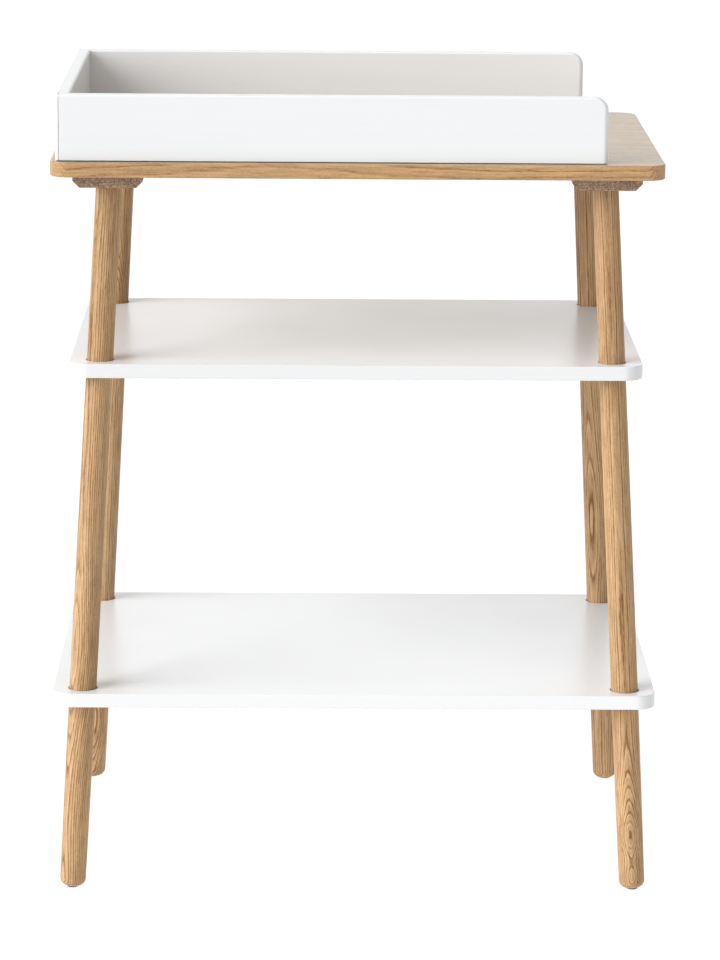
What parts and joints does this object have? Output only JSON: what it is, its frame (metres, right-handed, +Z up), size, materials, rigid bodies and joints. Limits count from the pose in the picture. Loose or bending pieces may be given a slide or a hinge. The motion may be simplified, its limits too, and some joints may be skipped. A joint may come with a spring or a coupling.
{
  "type": "changing table",
  "caption": "Free-standing changing table: oak top on splayed round oak legs, white shelves that the legs pass through, and a white lift-off changing rim open at one end.",
  "frame": {"origin": "on the floor, at the middle of the table's outline", "axes": "+Z up; +X to the right when seen from the front; the front faces -Y"},
  "size_m": [0.8052, 0.5504, 1.0721],
  "materials": {
    "oak": "turned solid oak, clear satin oil",
    "oak_veneer": "oak veneer board, clear satin lacquer, grain along X",
    "dark_oak": "oak bar with dark end grain at the front",
    "white_lacquer": "smooth white satin lacquer on board",
    "white_paint": "white satin paint with faint grain",
    "beech": "plain beech dowel",
    "zinc_steel": "zinc plated",
    "nylon": "brown moulded nylon"
  },
  "bodies": {
    "table": {"tabletop": "oak_veneer", "left_leg_rail": "dark_oak", "right_leg_rail": "dark_oak", "upper_shelf": "white_lacquer", "lower_shelf": "white_lacquer", "front_left_leg": "oak", "front_right_leg": "oak", "rear_left_leg": "oak", "rear_right_leg": "oak", "front_left_foot_glide": "nylon", "front_right_foot_glide": "nylon", "rear_left_foot_glide": "nylon", "rear_right_foot_glide": "nylon", "front_left_hanger_bolt": "zinc_steel", "front_right_hanger_bolt": "zinc_steel", "rear_left_hanger_bolt": "zinc_steel", "rear_right_hanger_bolt": "zinc_steel", "front_left_threaded_insert": "zinc_steel", "front_right_threaded_insert": "zinc_steel", "rear_left_threaded_insert": "zinc_steel", "rear_right_threaded_insert": "zinc_steel", "front_left_upper_shelf_pin": "zinc_steel", "front_left_lower_shelf_pin": "zinc_steel", "front_right_upper_shelf_pin": "zinc_steel", "front_right_lower_shelf_pin": "zinc_steel", "rear_left_upper_shelf_pin": "zinc_steel", "rear_left_lower_shelf_pin": "zinc_steel", "rear_right_upper_shelf_pin": "zinc_steel", "rear_right_lower_shelf_pin": "zinc_steel", "left_rail_screw_1": "zinc_steel", "left_rail_screw_2": "zinc_steel", "left_rail_screw_3": "zinc_steel", "right_rail_screw_1": "zinc_steel", "right_rail_screw_2": "zinc_steel", "right_rail_screw_3": "zinc_steel"},
    "rim": {"rim_front_panel": "white_paint", "rim_back_panel": "white_paint", "rim_end_panel": "white_paint", "rim_front_corner_dowel_1": "beech", "rim_front_corner_dowel_2": "beech", "rim_back_corner_dowel_1": "beech", "rim_back_corner_dowel_2": "beech", "rim_locating_dowel_front_left": "beech", "rim_locating_dowel_front_right": "beech", "rim_locating_dowel_rear_left": "beech", "rim_locating_dowel_rear_right": "beech", "rim_locating_dowel_end": "beech"}
  },
  "joints": [
    {"name": "rim_lift", "type": "slide", "parent": "table", "child": "rim", "axis": [0, 0, 1], "range_m": [0, 0.12]}
  ]
}
